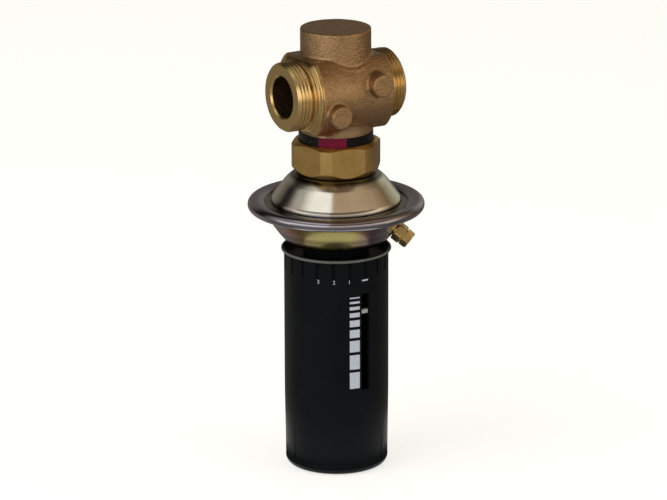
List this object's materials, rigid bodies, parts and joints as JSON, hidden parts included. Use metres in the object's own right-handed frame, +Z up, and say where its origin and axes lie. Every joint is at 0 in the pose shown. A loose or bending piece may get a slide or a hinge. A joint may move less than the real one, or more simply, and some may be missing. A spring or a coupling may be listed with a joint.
{
  "type": "differential pressure control valve",
  "caption": "Differential pressure control valve: threaded bronze body over a rolled steel diaphragm casing with an impulse fitting, set by a turning black handle with a scale slot.",
  "frame": {"origin": "centre of the handle's bottom face, on the axis of the stem", "axes": "+Z up along the stem towards the valve body, +X along the pipe, -Y towards the front with the blind tappings and the scale slot"},
  "size_m": [0.1064, 0.1064, 0.2718],
  "materials": {
    "cast_bronze": "sand cast bronze, turned at the ports and the neck",
    "brass": "turned and milled",
    "stainless_steel": "turned",
    "passivated_steel": "pressed sheet, zinc plated and yellow passivated",
    "zinc_steel": "zinc plated",
    "spring_steel": "drawn wire, phosphated",
    "rubber": "moulded",
    "black_plastic": "glass filled, fine satin",
    "grey_plastic": "satin",
    "band_film": "printed film, black with a red field, no lettering"
  },
  "bodies": {
    "valve": {"valve_body": "cast_bronze", "seat_ring": "stainless_steel", "seat_o_ring": "rubber", "stem_guide": "brass", "guide_o_ring": "rubber", "stem_seal": "rubber", "union_nut": "brass", "identification_band": "band_film", "neck_bush": "brass", "upper_casing": "passivated_steel", "lower_casing": "passivated_steel", "impulse_nipple": "brass", "compression_ferrule": "brass", "compression_nut": "brass", "diaphragm": "rubber", "spindle_tube": "zinc_steel", "bearing_disc": "black_plastic", "retaining_ring": "spring_steel"},
    "stem": {"valve_cone": "brass", "cone_seal": "rubber", "valve_stem": "stainless_steel", "actuator_stem": "stainless_steel", "upper_diaphragm_plate": "zinc_steel", "lower_diaphragm_plate": "zinc_steel", "diaphragm_nut": "zinc_steel", "spring_plate": "zinc_steel", "spring_lock_nut": "zinc_steel", "setting_spring": "spring_steel"},
    "handle": {"handle_sleeve": "black_plastic", "end_cap": "black_plastic"},
    "setting": {"setting_nut": "brass", "scale_pointer": "grey_plastic", "thrust_washer": "zinc_steel"}
  },
  "joints": [
    {"name": "stem_slide", "type": "slide", "parent": "valve", "child": "stem", "axis": [0, 0, 1], "range_m": [0, 0.0068], "stiffness_N_per_m": 8000, "springref_m": -0.004, "deforming": ["setting_spring", "diaphragm"]},
    {"name": "handle_turn", "type": "hinge", "parent": "valve", "child": "handle", "pos_m": [0, 0, 0], "axis": [0, 0, 1], "range_deg": [-2760, 480], "deforming": ["setting_spring"]},
    {"name": "setting_slide", "type": "slide", "parent": "handle", "child": "setting", "axis": [0, 0, 1], "range_m": [-0.0461, 0.0081], "deforming": ["setting_spring"]}
  ],
  "couplings": [
    {"joint": "setting_slide", "follows": "handle_turn", "m_per_rad": 0.00095493}
  ]
}
